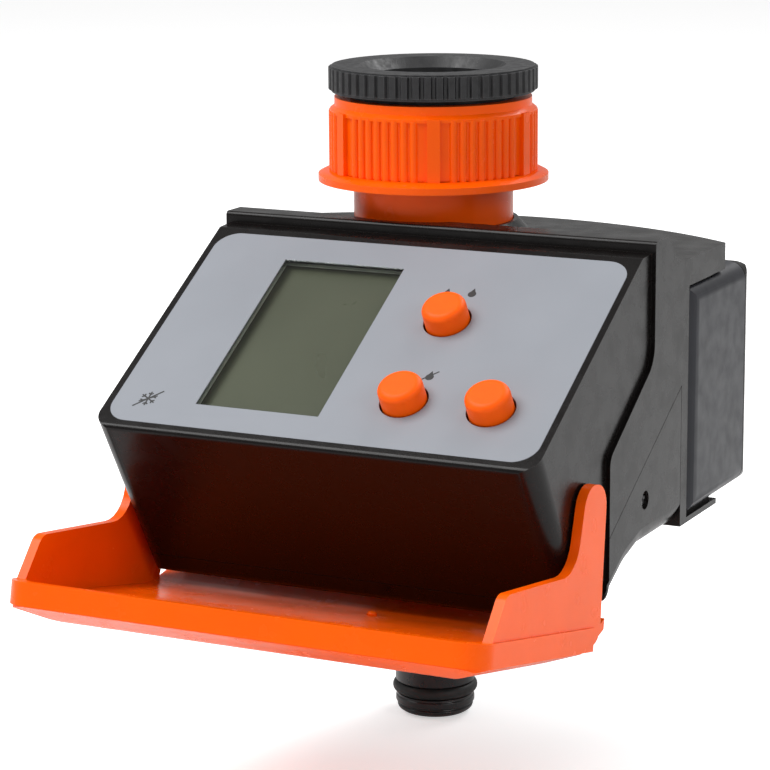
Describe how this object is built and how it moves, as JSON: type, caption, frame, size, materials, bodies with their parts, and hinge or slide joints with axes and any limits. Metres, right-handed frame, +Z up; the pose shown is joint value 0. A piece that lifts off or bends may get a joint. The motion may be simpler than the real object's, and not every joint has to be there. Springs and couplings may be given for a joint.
{
  "type": "drip irrigation timer",
  "caption": "Battery irrigation timer for a garden tap: sloped control head with display and push buttons, hinged flip cover, swivel inlet nut and push-on hose nozzle.",
  "frame": {"origin": "first turn of the inlet's tap thread, on the water axis", "axes": "+Z up along the water axis towards the tap, -Y towards the control panel, +X to the right when facing the panel"},
  "size_m": [0.092, 0.1299, 0.129],
  "materials": {
    "case_plastic": "fine satin moulded",
    "bay_plastic": "fine matt moulded",
    "orange_plastic": "gloss moulded",
    "ring_plastic": "matt knurled",
    "nozzle_plastic": "satin moulded",
    "overlay_film": "satin printed film",
    "lens": "clear",
    "display": "display glass",
    "white_plastic": "moulded",
    "zebra_rubber": "soft",
    "seal_rubber": "soft black",
    "valve_plastic": "glass filled",
    "steel": "bright",
    "copper_wire": "enamelled wire",
    "board": "solder mask",
    "chip_plastic": "epoxy",
    "capacitor_sleeve": "shrink sleeve",
    "wire_sleeve": "pvc sleeve",
    "cell_jacket": "printed jacket",
    "screen_mesh": "moulded mesh"
  },
  "bodies": {
    "case": {"nut_washer": "seal_rubber", "filter_screen": "screen_mesh", "inlet_neck": "orange_plastic", "neck_o_ring": "seal_rubber", "valve_body": "valve_plastic", "diaphragm": "seal_rubber", "valve_bonnet": "valve_plastic", "bonnet_screws": "steel", "core_tube": "steel", "plunger_spring": "steel", "solenoid_coil": "copper_wire", "solenoid_yoke": "steel", "coil_leads": "wire_sleeve", "outlet_nozzle": "nozzle_plastic", "nozzle_o_ring": "seal_rubber", "spigot_o_ring": "seal_rubber", "front_housing": "case_plastic", "lower_housing": "case_plastic", "rear_housing": "case_plastic", "housing_screws": "steel", "panel_overlay": "overlay_film", "display_window": "lens", "display_module": "display", "display_frame": "white_plastic", "zebra_strips": "zebra_rubber", "circuit_board": "board", "board_chips": "chip_plastic", "board_capacitor": "capacitor_sleeve", "tactile_switches": "chip_plastic", "board_screws": "steel", "button_seal": "seal_rubber", "battery_cells": "cell_jacket", "battery_springs": "steel", "battery_leads": "wire_sleeve", "battery_box": "bay_plastic"},
    "cover": {"flip_cover": "orange_plastic"},
    "nut": {"swivel_nut": "orange_plastic", "thread_adapter": "ring_plastic", "tap_washer": "seal_rubber"},
    "start_button": {"start_button": "orange_plastic"},
    "stop_button": {"stop_button": "orange_plastic"},
    "menu_button": {"menu_button": "orange_plastic"},
    "plunger": {"plunger": "steel"},
    "battery_lid": {"battery_cover": "case_plastic", "battery_seal": "seal_rubber"}
  },
  "joints": [
    {"name": "cover_hinge", "type": "hinge", "parent": "case", "child": "cover", "pos_m": [0.0098, -0.0512, -0.0668], "axis": [1, 0, 0], "range_deg": [-137.3, 0]},
    {"name": "nut_spin", "type": "hinge", "parent": "case", "child": "nut", "pos_m": [0, 0, -0.012], "axis": [0, 0, 1], "continuous": true},
    {"name": "start_press", "type": "slide", "parent": "case", "child": "start_button", "axis": [0, 0.5105, -0.8599], "range_m": [0, 0.0012]},
    {"name": "stop_press", "type": "slide", "parent": "case", "child": "stop_button", "axis": [0, 0.5105, -0.8599], "range_m": [0, 0.0012]},
    {"name": "menu_press", "type": "slide", "parent": "case", "child": "menu_button", "axis": [0, 0.5105, -0.8599], "range_m": [0, 0.0012]},
    {"name": "plunger_lift", "type": "slide", "parent": "case", "child": "plunger", "axis": [0, 0, 1], "range_m": [0, 0.002], "deforming": ["plunger_spring"]},
    {"name": "battery_cover_pull", "type": "slide", "parent": "case", "child": "battery_lid", "axis": [0, 1, 0], "range_m": [0, 0.03]}
  ]
}
